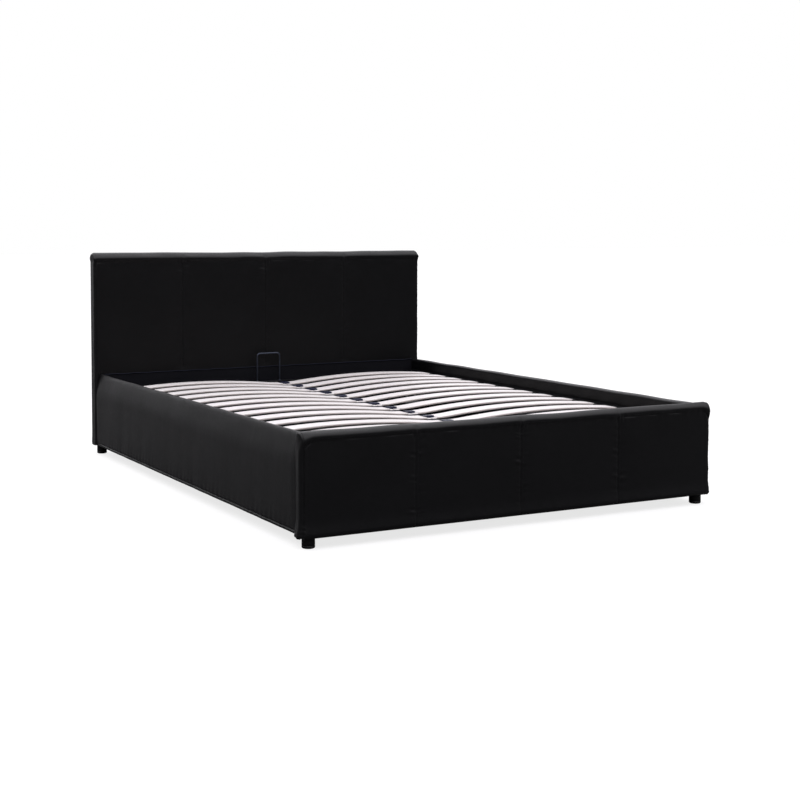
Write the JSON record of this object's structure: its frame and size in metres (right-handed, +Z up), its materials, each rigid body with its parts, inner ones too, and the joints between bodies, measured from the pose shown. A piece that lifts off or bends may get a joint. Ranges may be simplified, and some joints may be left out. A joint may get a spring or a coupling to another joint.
{
  "type": "upholstered storage bed",
  "caption": "Low upholstered double bed with a rolled headboard, padded side rails and footboard, and a slatted platform that lifts on arms and gas struts over a storage space.",
  "frame": {"origin": "on the floor under the middle of the bounding box", "axes": "+Y along the bed from the footboard to the headboard, +Z up from the floor, X across the bed"},
  "size_m": [1.63, 2.19, 0.8849],
  "materials": {
    "timber": "raw sawn timber and plywood",
    "board": "hardboard",
    "foam": "soft foam",
    "cover": "grained faux leather with a soft sheen",
    "lining": "smooth dark lining",
    "cloth": "woven or spun cloth",
    "black_plastic": "fine moulded grain",
    "navy_plastic": "satin moulded",
    "black_steel": "satin powder coat",
    "zinc": "zinc plated",
    "slat": "white foil over bent laminated wood"
  },
  "bodies": {
    "bed_base": {"headboard_frame": "timber", "headboard_lower_board": "timber", "headboard_panel": "timber", "headboard_padding": "foam", "headboard_cover": "cover", "headboard_lining": "lining", "headboard_back_cloth": "cloth", "footboard_core": "timber", "footboard_padding": "foam", "footboard_cover": "cover", "footboard_lining": "lining", "rail_core_left": "timber", "rail_core_right": "timber", "rail_padding_left": "foam", "rail_padding_right": "foam", "rail_cover_left": "cover", "rail_cover_right": "cover", "floor_battens": "timber", "centre_beam": "timber", "centre_legs": "black_plastic", "feet": "black_plastic", "corner_brackets": "black_steel", "frame_bolts": "zinc", "floor_panel_head": "board", "floor_panel_foot": "board", "hinge_plate_left": "black_steel", "hinge_plate_right": "black_steel", "base_pivot_pins": "zinc", "strut_brackets": "black_steel"},
    "rear_arms": {"rear_arm_left": "black_steel", "rear_arm_right": "black_steel"},
    "platform": {"platform_side_tubes": "black_steel", "platform_head_tube": "black_steel", "platform_foot_tube": "black_steel", "platform_centre_tube": "black_steel", "platform_cross_tubes": "black_steel", "lift_brackets": "black_steel", "platform_pivot_pins": "zinc", "mattress_retainer": "black_steel", "pull_strap": "cloth", "centre_holders": "navy_plastic", "side_holders": "black_plastic", "slat_row_01": "slat", "slat_row_02": "slat", "slat_row_03": "slat", "slat_row_04": "slat", "slat_row_05": "slat", "slat_row_06": "slat", "slat_row_07": "slat", "slat_row_08": "slat", "slat_row_09": "slat", "slat_row_10": "slat", "slat_row_11": "slat", "slat_row_12": "slat", "slat_row_13": "slat"},
    "front_arms": {"front_arm_left": "black_steel", "front_arm_right": "black_steel"},
    "strut_cylinders": {"strut_cylinders": "black_steel"},
    "strut_rods": {"strut_rods": "zinc"}
  },
  "joints": [
    {"name": "lift", "type": "hinge", "parent": "bed_base", "child": "rear_arms", "pos_m": [0, 0.39447, 0.14291], "axis": [1, 0, 0], "range_deg": [0, 55]},
    {"name": "platform_tilt", "type": "hinge", "parent": "rear_arms", "child": "platform", "pos_m": [0, 0.62, 0.225], "axis": [1, 0, 0], "range_deg": [-85.5, 0]},
    {"name": "front_arm_swing", "type": "hinge", "parent": "bed_base", "child": "front_arms", "pos_m": [0, -0.14406, 0.15], "axis": [1, 0, 0], "range_deg": [0, 34.5]},
    {"name": "strut_swing", "type": "hinge", "parent": "bed_base", "child": "strut_cylinders", "pos_m": [0, 0.9, 0.105], "axis": [1, 0, 0], "range_deg": [-7, 0]},
    {"name": "strut_slide", "type": "slide", "parent": "strut_cylinders", "child": "strut_rods", "axis": [0, -0.9804, 0.1971], "range_m": [0, 0.099]}
  ],
  "couplings": [
    {"joint": "platform_tilt", "follows": "lift", "ratio": -1.5455},
    {"joint": "front_arm_swing", "follows": "lift", "ratio": 0.61845},
    {"joint": "strut_swing", "follows": "lift", "ratio": -0.11993},
    {"joint": "strut_slide", "follows": "lift", "m_per_rad": 0.10226}
  ]
}
